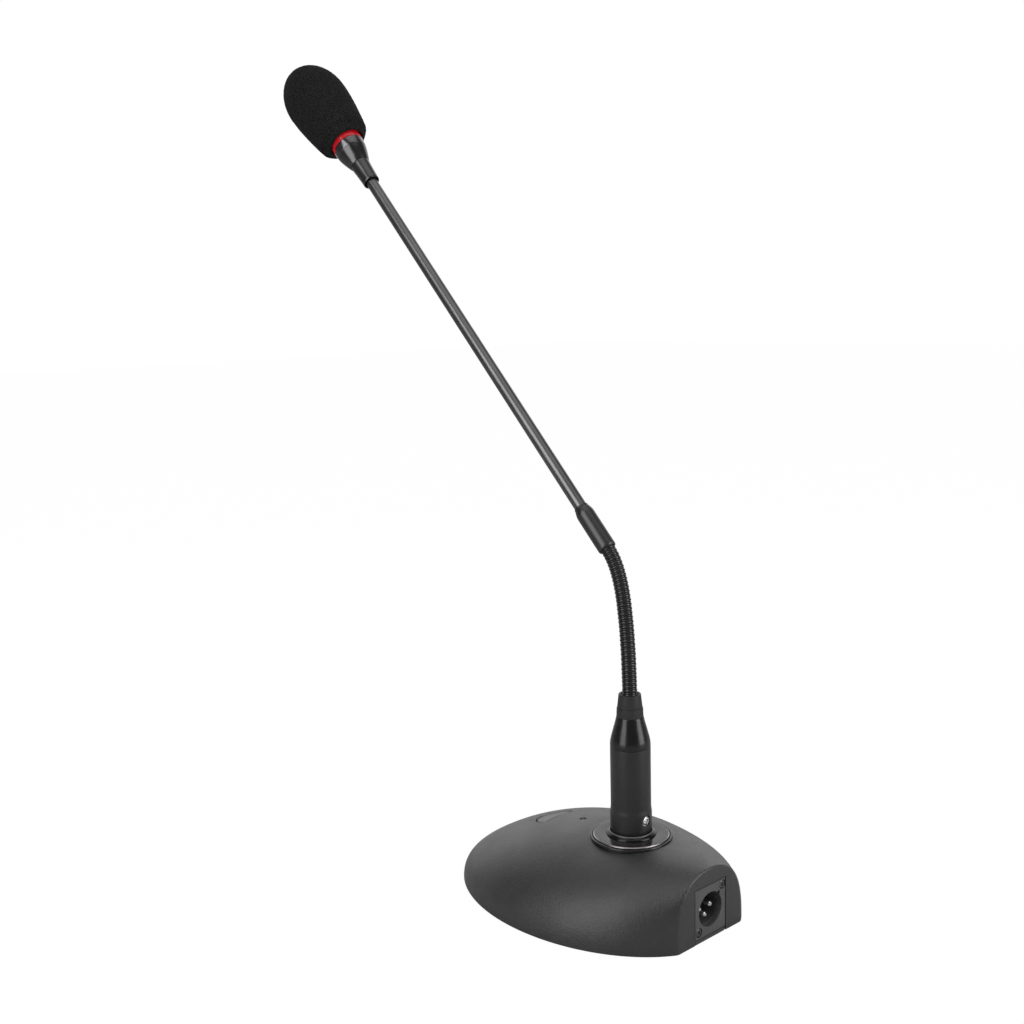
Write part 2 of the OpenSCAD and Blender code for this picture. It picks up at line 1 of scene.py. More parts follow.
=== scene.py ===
import itertools
import json
import math

import bpy
from mathutils import Matrix, Vector, noise

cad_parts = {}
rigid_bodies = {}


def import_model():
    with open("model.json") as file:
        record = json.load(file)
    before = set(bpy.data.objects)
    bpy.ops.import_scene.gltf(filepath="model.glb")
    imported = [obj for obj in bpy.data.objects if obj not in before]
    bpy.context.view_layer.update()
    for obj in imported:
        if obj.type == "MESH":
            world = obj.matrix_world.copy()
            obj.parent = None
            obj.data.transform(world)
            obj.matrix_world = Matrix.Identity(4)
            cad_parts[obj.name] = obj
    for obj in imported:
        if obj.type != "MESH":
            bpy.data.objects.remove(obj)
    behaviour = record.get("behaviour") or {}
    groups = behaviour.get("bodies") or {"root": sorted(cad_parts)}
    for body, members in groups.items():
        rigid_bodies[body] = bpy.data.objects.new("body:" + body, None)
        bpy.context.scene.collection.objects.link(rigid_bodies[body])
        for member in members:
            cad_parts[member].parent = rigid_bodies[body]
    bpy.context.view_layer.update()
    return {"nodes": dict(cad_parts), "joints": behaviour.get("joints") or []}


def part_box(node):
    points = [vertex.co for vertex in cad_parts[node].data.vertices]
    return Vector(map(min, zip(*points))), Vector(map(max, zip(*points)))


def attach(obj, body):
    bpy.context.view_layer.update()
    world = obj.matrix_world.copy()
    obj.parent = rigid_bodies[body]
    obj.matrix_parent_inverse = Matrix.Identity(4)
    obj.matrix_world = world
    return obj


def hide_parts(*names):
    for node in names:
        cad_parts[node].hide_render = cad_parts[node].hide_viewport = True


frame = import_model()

MM = 0.001
ACROSS, BACK, UP = Vector((1, 0, 0)), Vector((0, 1, 0)), Vector((0, 0, 1))
NODES = frame["nodes"]


# ---------- places worked out from the frame ----------
def joint(name):
    return next(j for j in frame["joints"] if j["name"] == name)


def span(node, origin, axis):
    """Lowest and highest station of a node along an axis, in metres."""
    stations = [(v.co - origin).dot(axis) for v in NODES[node].data.vertices]
    return min(stations), max(stations)


NECK_JOINTS = [j for j in frame["joints"] if j["type"] == "hinge"]
PIVOTS = [Vector(j["pos_m"]) for j in NECK_JOINTS]
ARM_DIR = Vector(joint("windscreen_off")["axis"]).normalized()
ARM_START = PIVOTS[-1]
FERRULE = ARM_START + ARM_DIR * span("ferrule", ARM_START, ARM_DIR)[0]
BASE_LOW, BASE_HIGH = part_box("base_shell")
CENTRE = Vector((0, 0, BASE_LOW.z))


# ---------- camera ----------
LENS, SENSOR = 45.28, 36
CAMERA_PLACE = Vector((449.14, 412.13, 301.6)) * MM + CENTRE
AZIMUTH, LOOK_DOWN, ROLL = math.radians(137.74), math.radians(9.383), math.radians(1.495)
TO_CAMERA = Vector((math.sin(AZIMUTH), -math.cos(AZIMUTH), 0))


def make_camera():
    data = bpy.data.cameras.new("camera")
    data.lens, data.sensor_width = LENS, SENSOR
    data.clip_start, data.clip_end = 0.01, 20
    cam = bpy.data.objects.new("camera", data)
    bpy.context.scene.collection.objects.link(cam)
    back = TO_CAMERA * math.cos(LOOK_DOWN) + UP * math.sin(LOOK_DOWN)
    turn = (-back).to_track_quat("-Z", "Y").to_matrix() @ Matrix.Rotation(-ROLL, 3, "Z")
    cam.matrix_world = Matrix.Translation(CAMERA_PLACE) @ turn.to_4x4()
    bpy.context.scene.camera = cam


# ---------- mesh helpers ----------
def smooth_run(points, n=6):
    """Smooth curve through points."""
    ends = [2 * Vector(points[0]) - Vector(points[1])]
    ends += [Vector(p) for p in points]
    ends += [2 * Vector(points[-1]) - Vector(points[-2])]
    out = []
    for i in range(1, len(ends) - 2):
        a, b, c, d = ends[i - 1:i + 3]
        for k in range(n):
            t = k / n
            out.append(0.5 * (2 * b + (c - a) * t + (2 * a - 5 * b + 4 * c - d) * t * t
                              + (3 * b - a - 3 * c + d) * t ** 3))
    out.append(ends[-2])
    return [tuple(p) for p in out]


def bezier(start, knee, end, t):
    return (1 - t) ** 2 * start + 2 * t * (1 - t) * knee + t * t * end


def rounded(points, radii, n=4):
    """Closed outline, each corner rounded by its own radius. Corners on the axis stay sharp."""
    out = []
    for i, r in enumerate(radii):
        p = Vector(points[i])
        if r <= 0 or p.x <= 0:
            out.append(tuple(p))
            continue
        a, b = Vector(points[i - 1]) - p, Vector(points[(i + 1) % len(points)]) - p
        cut = min(r, 0.45 * a.length, 0.45 * b.length)
        start, end = p + a.normalized() * cut, p + b.normalized() * cut
        for k in range(n + 1):
            t = k / n
            out.append(tuple(bezier(start, p, end, t)))
    return out


def new_mesh(name, verts, faces, sharp=38):
    mesh = bpy.data.meshes.new(name)
    mesh.from_pydata([tuple(v) for v in verts], [], faces)
    mesh.validate()
    obj = bpy.data.objects.new(name, mesh)
    bpy.context.scene.collection.objects.link(obj)
    shade(obj, sharp)
    return obj


def shade(obj, sharp=38):
    mesh = obj.data
    mesh.polygons.foreach_set("use_smooth", [True] * len(mesh.polygons))
    mesh.set_sharp_from_angle(angle=math.radians(sharp))
    mesh.update()


def frame_to(origin, axis):
    """Matrix that carries +Z to axis and keeps +X across the neck's plane."""
    z = axis.normalized()
    y = z.cross(ACROSS).normalized()
    x = y.cross(z)
    return Matrix.Translation(origin) @ Matrix((x, y, z)).transposed().to_4x4()


def lathe(name, outline, origin=CENTRE, axis=UP, steps=128, sharp=38):
    """Turned solid from a closed outline of (radius, height) pairs, in mm."""
    place = frame_to(origin, axis)
    verts, rings = [], []
    for r, h in outline:
        count = steps if r > 0 else 1
        rings.append(list(range(len(verts), len(verts) + count)))
        for i in range(count):
            a = 2 * math.pi * i / steps
            verts.append(place @ (Vector((r * math.cos(a), r * math.sin(a), h)) * MM))
    faces = []
    for k, low in enumerate(rings):
        high = rings[(k + 1) % len(rings)]
        if len(low) == 1 and len(high) == 1:
            continue
        for i in range(steps):
            j = (i + 1) % steps
            if len(low) == 1:
                faces.append((low[0], high[j], high[i]))
            elif len(high) == 1:
                faces.append((low[i], low[j], high[0]))
            else:
                faces.append((low[i], low[j], high[j], high[i]))
    return new_mesh(name, verts, faces, sharp)


def settle(obj):
    """Applies the modifiers."""
    bpy.context.view_layer.update()
    graph = bpy.context.evaluated_depsgraph_get()
    made = bpy.data.meshes.new_from_object(obj.evaluated_get(graph))
    obj.modifiers.clear()
    obj.data = made


def combine(obj, other, operation="DIFFERENCE"):
    mod = obj.modifiers.new("combine", "BOOLEAN")
    mod.operation = operation
    mod.solver = "EXACT"
    mod.object = other
    settle(obj)
    bpy.data.objects.remove(other)


def soften(obj, width):
    mod = obj.modifiers.new("soften", "BEVEL")
    mod.width = width * MM
    mod.segments = 2
    mod.limit_method = "ANGLE"
    mod.angle_limit = math.radians(50)
    settle(obj)
    shade(obj, 30)


def block(name, low, high):
    """Cutting block between two corners, in mm over the rim."""
    corners = itertools.product(*zip(low, high))
    faces = [(0, 1, 3, 2), (4, 6, 7, 5), (0, 4, 5, 1), (2, 3, 7, 6), (0, 2, 6, 4), (1, 5, 7, 3)]
    return new_mesh(name, [CENTRE + Vector(c) * MM for c in corners], faces)


def rod(name, r, low, high, origin=CENTRE, axis=UP, steps=96):
    return lathe(name, [(0, low), (r, low), (r, high), (0, high)], origin, axis, steps)


def dress(obj, material):
    obj.data.materials.clear()
    obj.data.materials.append(material)


def finish_piece(obj, body, nodes, material):
    dress(obj, material)
    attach(obj, body)
    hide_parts(*nodes)


def second_material(obj, material, chosen):
    """Gives a material to the faces chosen by their radius and height, in mm, and their normal."""
    obj.data.materials.append(material)
    for face in obj.data.polygons:
        middle = (face.center - CENTRE) / MM
        if chosen(math.hypot(middle.x, middle.y), middle.z, face.normal):
            face.material_index = 1


# ---------- materials ----------
class Shader:
    """Small builder for one node material."""

    def __init__(self, name):
        self.material = bpy.data.materials.new(name)
        self.material.use_nodes = True
        self.tree = self.material.node_tree
        self.base = self.tree.nodes["Principled BSDF"]
        self.where = self.tree.nodes.new("ShaderNodeTexCoord").outputs["Object"]
        self.bumps = []

    def link(self, a, b):
        self.tree.links.new(a, b)

    def noise(self, size, detail=3.0, rough=0.55):
        """Noise whose features are about size millimetres."""
        node = self.tree.nodes.new("ShaderNodeTexNoise")
        node.inputs["Scale"].default_value = 1.0 / (size * MM)
        node.inputs["Detail"].default_value = detail
        node.inputs["Roughness"].default_value = rough
        self.link(self.where, node.inputs["Vector"])
        return node.outputs["Fac"]

    def cells(self, size, feature="F1"):
        node = self.tree.nodes.new("ShaderNodeTexVoronoi")
        node.feature = feature
        node.inputs["Scale"].default_value = 1.0 / (size * MM)
        self.link(self.where, node.inputs["Vector"])
        return node.outputs["Distance"]

    def span(self, value, low, high, from_low=0.3, from_high=0.7):
        node = self.tree.nodes.new("ShaderNodeMapRange")
        node.inputs["From Min"].default_value = from_low
        node.inputs["From Max"].default_value = from_high
        node.inputs["To Min"].default_value = low
        node.inputs["To Max"].default_value = high
        self.link(value, node.inputs["Value"])
        return node.outputs["Result"]

    def tint(self, value, first, second):
        node = self.tree.nodes.new("ShaderNodeMix")
        node.data_type = "RGBA"
        node.inputs["A"].default_value = (*first, 1)
        node.inputs["B"].default_value = (*second, 1)
        self.link(value, node.inputs["Factor"])
        return node.outputs["Result"]

    def colour(self, rgb, spread, size, fine):
        """Base colour that drifts a little over the surface."""
        broad = self.span(self.noise(size), 0, 1)
        dark = [c * (1 - spread) for c in rgb]
        light = [c * (1 + spread) for c in rgb]
        mixed = self.tint(broad, dark, light)
        grain = self.tree.nodes.new("ShaderNodeMix")
        grain.data_type = "RGBA"
        grain.blend_type = "MULTIPLY"
        grain.inputs["Factor"].default_value = 1
        self.link(mixed, grain.inputs["A"])
        self.link(self.span(self.noise(fine, 2), 1 - spread, 1), grain.inputs["B"])
        self.link(grain.outputs["Result"], self.base.inputs["Base Color"])

    def roughness(self, middle, spread, size):
        value = self.span(self.noise(size, 4, 0.6), middle - spread, middle + spread)
        self.link(value, self.base.inputs["Roughness"])

    def bump(self, value, depth, strength=1.0):
        """Adds a bump of a depth in mm to those before it."""
        node = self.tree.nodes.new("ShaderNodeBump")
        node.inputs["Distance"].default_value = depth * MM
        node.inputs["Strength"].default_value = strength
        self.link(value, node.inputs["Height"])
        if self.bumps:
            self.link(self.bumps[-1], node.inputs["Normal"])
        self.bumps.append(node.outputs["Normal"])
        self.link(node.outputs["Normal"], self.base.inputs["Normal"])

    def set(self, **values):
        names = {"metal": "Metallic", "spec": "Specular IOR Level",
                 "under": "Subsurface Weight", "under_scale": "Subsurface Scale"}
        for key, value in values.items():
            self.base.inputs[names[key]].default_value = value
        return self.material


def moulded(name, rgb, rough, grain, depth, spec):
    """Fine-textured moulded plastic."""
    s = Shader(name)
    s.colour(rgb, 0.14, 12.0, grain)
    s.roughness(rough, 0.05, 18.0)
    s.bump(s.noise(grain, 3, 0.6), depth)
    s.bump(s.noise(grain * 9, 2), depth * 0.8, 0.5)
    return s.set(spec=spec)


def glossy(name, rgb, rough, speckle=0.0, spec=0.5):
    """Polished plastic with faint dust and orange peel."""
    s = Shader(name)
    s.colour(rgb, 0.1 + speckle, 16.0, 0.35)
    s.roughness(rough, 0.04, 6.0)
    s.bump(s.noise(2.4, 2), 0.004, 0.6)
    s.bump(s.noise(0.3, 2), 0.003 + 0.02 * speckle, 0.6)
    return s.set(spec=spec)


def painted(name, rgb, rough, grain, depth, metal=0.0):
    """Paint or anodising on turned metal."""
    s = Shader(name)
    s.colour(rgb, 0.1, 20.0, grain)
    s.roughness(rough, 0.05, 10.0)
    s.bump(s.noise(grain, 3, 0.6), depth)
    return s.set(metal=metal)


def plated(name, rgb, rough):
    """Bright plated or machined metal."""
    s = Shader(name)
    s.colour(rgb, 0.05, 5.0, 0.3)
    s.roughness(rough, 0.05, 1.5)
    s.bump(s.noise(0.25, 3), 0.003)
    return s.set(metal=1.0)


def soft_rubber(name, rgb, rough):
    """Matt rubber with a mottled skin."""
    s = Shader(name)
    s.colour(rgb, 0.18, 7.0, 0.3)
    s.roughness(rough, 0.07, 5.0)
    s.bump(s.noise(0.22, 4, 0.65), 0.02)
    return s.set(spec=0.4)


def foam_material():
    """Open-cell foam: dark pores between paler cell walls."""
    s = Shader("open_cell_foam")
    cells = s.cells(0.75)
    dark = s.span(cells, 0, 1, 0.1, 0.75)
    colour = s.tint(dark, (0.027, 0.027, 0.0275), (0.007, 0.007, 0.0072))
    s.link(colour, s.base.inputs["Base Color"])
    s.roughness(0.95, 0.04, 3.0)
    s.bump(cells, 0.25, 0.6)
    s.bump(s.noise(0.35, 4, 0.7), 0.2, 0.7)
    return s.set(spec=0.12)


def ring_material():
    """Red tinted acrylic, lit a little from inside."""
    s = Shader("red_acrylic")
    broad = s.span(s.noise(7.0), 0, 1)
    s.link(s.tint(broad, (0.4, 0.004, 0.009), (0.5, 0.007, 0.014)), s.base.inputs["Base Color"])
    s.roughness(0.22, 0.05, 4.0)
    s.bump(s.noise(0.6, 3), 0.006)
    s.base.inputs["Emission Color"].default_value = (0.7, 0.006, 0.012, 1)
    s.base.inputs["Emission Strength"].default_value = 0.1
    return s.set(under=0.25, under_scale=0.002, spec=0.5)


def board_material():
    """Green solder mask with paler tracks."""
    s = Shader("solder_mask")
    lines = s.span(s.cells(2.2, "DISTANCE_TO_EDGE"), 1, 0, 0.02, 0.08)
    s.link(s.tint(lines, (0.01, 0.1, 0.035), (0.03, 0.2, 0.07)), s.base.inputs["Base Color"])
    s.roughness(0.35, 0.05, 5.0)
    s.bump(lines, 0.02, 0.5)
    return s.set(spec=0.5)


def make_materials():
    return {
        "shell": moulded("shell_plastic", (0.033, 0.033, 0.034), 0.36, 0.8, 0.22, 0.62),
        "cover": moulded("cover_plastic", (0.06, 0.06, 0.061), 0.45, 0.5, 0.03, 0.5),
        "button": moulded("button_plastic", (0.016, 0.016, 0.017), 0.24, 0.3, 0.01, 0.45),
        "plate": moulded("plate_plastic", (0.085, 0.085, 0.086), 0.4, 0.2, 0.015, 0.6),
        "inner": moulded("inner_plastic", (0.012, 0.012, 0.012), 0.6, 0.3, 0.02, 0.3),
        "ivory": moulded("ivory_plastic", (0.45, 0.42, 0.34), 0.45, 0.3, 0.02, 0.5),
        "flange": glossy("flange_gloss", (0.03, 0.027, 0.028), 0.12, 0.5),
        "bezel": glossy("bezel_gloss", (0.012, 0.012, 0.013), 0.14),
        "collar": glossy("collar_gloss", (0.006, 0.006, 0.0065), 0.14, 0.0, 0.3),
        # painted highlight: a pale line on the collar's inner bead
        "bead_highlight_paint": glossy("collar_bead_painted_highlight", (0.14, 0.14, 0.143), 0.3),
        # painted highlight: a pale metal line on the flange's bevel
        "bevel_highlight_paint": plated("flange_bevel_painted_highlight", (0.4, 0.37, 0.38), 0.3),
        "shoulder": glossy("shoulder_gloss", (0.008, 0.008, 0.008), 0.23),
        "barrel": painted("barrel_paint", (0.018, 0.018, 0.0185), 0.36, 0.16, 0.01),
        "wire": painted("wound_wire", (0.055, 0.055, 0.057), 0.2, 0.12, 0.004, 0.8),
        "ferrule": painted("ferrule_paint", (0.075, 0.075, 0.077), 0.34, 0.14, 0.004, 0.85),
        "tube": painted("tube_paint", (0.16, 0.16, 0.163), 0.28, 0.14, 0.004, 0.9),
        "sleeve": painted("sleeve_anodised", (0.09, 0.09, 0.093), 0.24, 0.12, 0.002, 0.85),
        "cone": painted("cone_anodised", (0.095, 0.095, 0.098), 0.2, 0.12, 0.002, 0.9),
        "band": painted("band_anodised", (0.15, 0.145, 0.15), 0.18, 0.12, 0.002, 0.95),
        "capsule": plated("capsule_metal", (0.6, 0.6, 0.62), 0.3),
        "screw": plated("bright_screw", (0.9, 0.9, 0.91), 0.3),
        "pin": plated("silver_pin", (0.92, 0.92, 0.93), 0.36),
        "brass": plated("contact_brass", (0.78, 0.62, 0.32), 0.2),
        "steel": plated("ballast_steel", (0.42, 0.43, 0.45), 0.38),
        "black_screw": painted("black_oxide", (0.012, 0.012, 0.012), 0.35, 0.15, 0.006, 0.6),
        "grey_screw": painted("grey_phosphate", (0.12, 0.12, 0.122), 0.34, 0.15, 0.006, 0.6),
        "boot": soft_rubber("boot_rubber", (0.024, 0.024, 0.024), 0.52),
        "pad": soft_rubber("pad_rubber", (0.014, 0.014, 0.014), 0.75),
        "foam": foam_material(),
        "ring": ring_material(),
        "board": board_material(),
        "lens": glossy("tinted_lens", (0.12, 0.1, 0.1), 0.08),
    }


# ---------- the base ----------
BASE_W = (BASE_HIGH.x - BASE_LOW.x) / MM
TIP_Y, REAR_Y = BASE_LOW.y / MM, BASE_HIGH.y / MM
WIDEST_Y, TAIL_LEN = TIP_Y + 79.9, 81.3
CREST_Y, CREST_H, ARCH_H = -13.0, 37.3, 35.3
NOSE_POWERS = (1.66, 1.64)
DOME_POWERS, ARCH_POWERS, ARCH_HOLD = (2.26, 2.04), (2, 3.7), 44
WALL, REAR_EDGE = 2.6, 0.8
SEAT_R, SEAT_Z, LEDGE_Z, BORE_R = 20.55, 35.4, 31.2, 13.6
OUTPUT_Z, CUP_R = 14.7, 10.2
PLATE_W, PLATE_TOP, PLATE_DEPTH, PLATE_GAP, WIDE_GAP = 22.0, 26.9, 2.6, 0.36, 0.66
LED_Y, LED_HOLE_R = -33.6, 1.85
BUTTON_Y, BUTTON_EDGE_Y, BUTTON_R, BUTTON_CORNER = -54.0, -51.5, 10.25, 2.0
BUTTON_TILT, BUTTON_OUT, BUTTON_GAP = math.radians(15.4), 0.6, 0.55
KEY_MIDDLE_Y, CROWN_H, CROWN_FALL = -3.2, 0.43, 180


def half_width(y, inset):
    if y < WIDEST_Y:
        share = (WIDEST_Y - y) / (WIDEST_Y - TIP_Y - inset)
        return (BASE_W / 2 - inset) * math.sqrt(max(0.0, 1 - share ** 2))
    return BASE_W / 2 * math.sqrt(max(0.0, 1 - ((y - WIDEST_Y) / TAIL_LEN) ** 2)) - inset


def dome_top(y, inset=0.0):
    if y < CREST_Y:
        share = (CREST_Y - y) / (CREST_Y - TIP_Y - inset)
        return (CREST_H - inset) * max(0.0, 1 - share ** NOSE_POWERS[0]) ** (1 / NOSE_POWERS[1])
    return CREST_H - inset - (CREST_H - ARCH_H) * ((y - CREST_Y) / (REAR_Y - CREST_Y)) ** 2


def dome_point(y, t, inset, edge):
    """Point at angle t of the arch at y. The last edge mm before the rear face curve in."""
    hold = max(0.0, (y - TIP_Y) / (REAR_Y - TIP_Y)) ** ARCH_HOLD
    a, b = (low + (high - low) * hold for low, high in zip(DOME_POWERS, ARCH_POWERS))
    near = y - REAR_Y + edge
    inward = edge - math.sqrt(max(0.0, edge * edge - near * near)) if near > 0 else 0.0
    w = max(0.0, half_width(y, inset) - inward)
    h = max(0.0, dome_top(y, inset) - inward)
    c, s = math.cos(t), max(0.0, math.sin(t))
    return (w * math.copysign(abs(c) ** (2 / a), c), y, h * s ** (2 / b))


def dome(name, inset, front, back, rows, steps, low, edge):
    """Closed dome drawn as arches of points across the base."""
    stations = [front + (back - front) * (1 - math.cos(math.pi * i / rows)) / 2
                for i in range(rows + 1)]
    if edge > 0:
        stations = [y for y in stations if y < back - edge]
        stations += [back - edge + edge * math.sin(math.pi / 2 * k / 6) for k in range(7)]
    verts, s = [], steps + 1
    for y in stations:
        for j in range(s):
            p = Vector(dome_point(y, math.pi * j / steps, inset, edge))
            p.z = low if j in (0, steps) else max(low, p.z)
            verts.append(CENTRE + p * MM)
    faces = []
    last = len(stations) - 1
    for i in range(last):
        here, there = i * s, (i + 1) * s
        faces += [(here + j, here + j + 1, there + j + 1, there + j) for j in range(steps)]
        faces.append((here, there, there + steps, here + steps))
    faces.append(tuple(range(steps, -1, -1)))
    faces.append(tuple(last * s + j for j in range(s)))
    return new_mesh(name, verts, faces, 30)


def button_place():
    """Matrix of the button's own frame, on the dome and tilted with it."""
    place = CENTRE + Vector((0, BUTTON_Y, dome_top(BUTTON_Y - 3) + BUTTON_OUT)) * MM
    return Matrix.Translation(place) @ Matrix.Rotation(BUTTON_TILT, 4, "X")


def button_outline(grow, n=8):
    """D shape: a round front and a straight rear edge with rounded corners."""
    r = BUTTON_R + grow
    top = BUTTON_EDGE_Y - BUTTON_Y + grow
    corner = BUTTON_CORNER + grow
    cy = top - corner
    cx = math.sqrt(max(0.0, (r - corner) ** 2 - cy * cy))
    turn = math.atan2(cy, cx)
    points = [(cx + corner * math.cos(a), cy + corner * math.sin(a))
              for a in [turn + (math.pi / 2 - turn) * k / n for k in range(n + 1)]]
    points += [(cx * (1 - 2 * k / 10), top) for k in range(1, 10)]
    points += [(-x, y) for x, y in reversed(points[:n + 1])]
    arc = [math.pi - turn + (math.pi + 2 * turn) * k / 48 for k in range(1, 48)]
    return points + [(r * math.cos(a), r * math.sin(a)) for a in arc]


def prism(name, outline, low, high, place):
    """Cutting prism on a flat outline, in mm, in its own frame."""
    n = len(outline)
    verts = [place @ (Vector((x, y, z)) * MM) for z in (low, high) for x, y in outline]
    faces = [tuple(range(n - 1, -1, -1)), tuple(range(n, 2 * n))]
    faces += [(i, (i + 1) % n, n + (i + 1) % n, n + i) for i in range(n)]
    return new_mesh(name, verts, faces)


def base_shell(m):
    """Dome with the socket's seat, the button's and light's holes and the plate's notch.

    The finished dome is solid: the cut of its hollow is lost.
    """
    shell = dome("dome_shell", 0, TIP_Y, REAR_Y, 150, 140, 0, REAR_EDGE)
    combine(shell, dome("hollow", WALL, TIP_Y + WALL, REAR_Y - WALL, 60, 60, -1, 0))
    combine(shell, rod("seat", SEAT_R, SEAT_Z, 45))
    combine(shell, rod("pedestal", SEAT_R, LEDGE_Z, SEAT_Z, steps=128), "UNION")
    combine(shell, rod("bore", BORE_R, 20, 50))
    combine(shell, prism("button_hole", button_outline(BUTTON_GAP), -12, 8, button_place()))
    light = CENTRE + BACK * LED_Y * MM
    combine(shell, rod("light_hole", LED_HOLE_R, 20, 50, light, steps=48))
    low = (-PLATE_W / 2 - WIDE_GAP, REAR_Y - PLATE_DEPTH, -1)
    high = (PLATE_W / 2 + PLATE_GAP, REAR_Y + 3, PLATE_TOP + PLATE_GAP)
    combine(shell, block("notch", low, high))
    output = CENTRE + Vector((0, REAR_Y, OUTPUT_Z)) * MM
    combine(shell, rod("cup", CUP_R, -20, -1, output, BACK, 64))
    soften(shell, 0.22)
    finish_piece(shell, "base", ["base_shell"], m["shell"])


def key_outline(grow):
    """The key's outline; well inside its edge, one outline drawn in towards the key's middle."""
    if grow > -2.1:
        return button_outline(grow)
    k = max(0.06, 1 + (grow + 1.9) / 7.5)
    return [(x * k, KEY_MIDDLE_Y + (y - KEY_MIDDLE_Y) * k) for x, y in button_outline(-1.9)]


def talk_button(m):
    """Crowned key with rounded edges. Its sides get the dark collar gloss as painted shade,
    standing for the shadow in the gap round the key.
    """
    place = button_place()
    rings = [(1.0, -3.25), (0.0, -3.25), (0.0, -0.5)]
    for k in range(1, 6):
        a = math.pi / 2 * k / 5
        rings.append((-0.5 * (1 - math.cos(a)), -0.5 + 0.5 * math.sin(a)))
    rings += [(-0.5 - 0.9 * k, CROWN_H) for k in range(1, 7)]
    verts = []
    for grow, z in rings:
        for x, y in key_outline(grow):
            crown = CROWN_H - (x * x + (y - KEY_MIDDLE_Y) ** 2) / CROWN_FALL
            verts.append(place @ (Vector((x, y, min(z, crown))) * MM))
    n = len(verts) // len(rings)
    last = len(verts) - n
    verts.append(place @ (Vector((0, KEY_MIDDLE_Y, CROWN_H)) * MM))
    faces = [(i + k, i + (k + 1) % n, i + n + (k + 1) % n, i + n + k)
             for i in range(0, last, n) for k in range(n)]
    faces += [(last + k, last + (k + 1) % n, last + n) for k in range(n)]
    faces.append(tuple(range(n - 1, -1, -1)))
    key = new_mesh("talk_key", verts, faces, 50)
    finish_piece(key, "button", ["talk_button"], m["button"])
    # the key's sides get the dark collar gloss: painted shade for the gap round the key
    out = place.to_3x3() @ UP
    second_material(key, m["collar"], lambda r, z, normal: abs(normal.dot(out)) < 0.75)


# ---------- socket and stem ----------
SOCKET_Z, SCREW_Z = SEAT_Z + 0.02, 46.8
BARREL_R, BARREL_TOP_Z, BOOT_Z, BOOT_TOP_Z = 10, 83.2, 98.4, 109.8


def socket_bezel(m):
    """Plain ring round the disc."""
    outline = rounded([(19.35, SOCKET_Z), (20.45, SOCKET_Z), (20.45, 37.4), (19.35, 37.4)],
                      [0, 0.1, 0.45, 0.3])
    piece = lathe("socket_trim", outline)
    finish_piece(piece, "base", ["socket_bezel"], m["bezel"])


def socket_flange(m):
    """Gloss disc with a bevelled edge; the bevel gets a pale metal as a painted highlight line."""
    top = 38.1
    outline = rounded([(12.5, SOCKET_Z), (19, SOCKET_Z), (19, top - 0.45), (18.55, top),
                       (12.5, top)],
                      [0, 0.1, 0.12, 0.12, 0.1])
    piece = lathe("socket_disc", outline)
    finish_piece(piece, "base", ["socket_flange"], m["flange"])
    # pale metal on the bevel: a painted highlight line
    second_material(piece, m["bevel_highlight_paint"], lambda r, z, normal: r > 18.5 and z > top - 0.46)


def socket_collar(m):
    """Raised rim: a bead at the inside, painted pale as a highlight line, then a steep slope that
    falls to the disc.
    """
    outline = rounded([(10.45, 36.4), (12.45, 36.4), (12.45, 38.4), (12.1, 38.9), (11, 39.5),
                       (11, 40), (10.45, 40)],
                      [0, 0, 0.3, 0.3, 0.1, 0.25, 0.2])
    piece = lathe("socket_rim", outline)
    finish_piece(piece, "base", ["socket_collar"], m["collar"])
    # pale bead: a painted highlight line
    second_material(piece, m["bead_highlight_paint"], lambda r, z, normal: r < 11.02 and z > 39.52)


def barrel(m):
    """Straight tube on a slightly wider foot, with the set screw's recess."""
    foot = BARREL_R + 0.35
    outline = rounded([(9.44, 38.7), (9.65, 38.7), (9.85, 39.6), (foot, 41.1), (foot, 50),
                       (BARREL_R, 52.2), (BARREL_R, BARREL_TOP_Z), (8.4, BARREL_TOP_Z), (8.4, 60),
                       (9.44, 59)],
                      [0.1, 0.1, 0.3, 0.8, 1, 1, 0.1, 0, 0, 0])
    piece = lathe("stem_barrel", outline, steps=160)
    combine(piece, rod("recess", 2.75, 5, 14, CENTRE + UP * SCREW_Z * MM, BACK, 64))
    soften(piece, 0.18)
    finish_piece(piece, "stem", ["connector_barrel"], m["barrel"])


def shoulder(m):
    """Gloss taper from the barrel to the boot."""
    side = smooth_run([(10.02, 83.35), (10.0, 84.5), (9.8, 86.4), (9.35, 88.4), (8.8, 90.4),
                       (8.25, 92.5), (7.65, 94.5), (7.15, 96.5), (6.75, 98.25)], 4)
    low = BARREL_TOP_Z + 0.02
    outline = [(4.6, low), (9.9, low)] + side + [(6.65, BOOT_Z), (4.6, BOOT_Z)]
    piece = lathe("stem_shoulder", outline, sharp=50)
    finish_piece(piece, "stem", ["barrel_shoulder"], m["shoulder"])


def boot(m):
    """Rubber sleeve in two tapered steps, with a groove between them."""
    low = BOOT_Z + 0.02
    outline = rounded([(4.2, low), (6.65, low), (6.48, 102.75), (6.02, 102.8), (6.02, 103.3),
                       (6.2, 103.35), (5.55, 109.1), (5.5, BOOT_TOP_Z), (4.2, BOOT_TOP_Z)],
                      [0, 0.15, 0.12, 0.1, 0.1, 0.15, 0.3, 0.5, 0.3], 5)
    piece = lathe("neck_boot", outline, sharp=60)
    finish_piece(piece, "stem", ["flex_boot"], m["boot"])


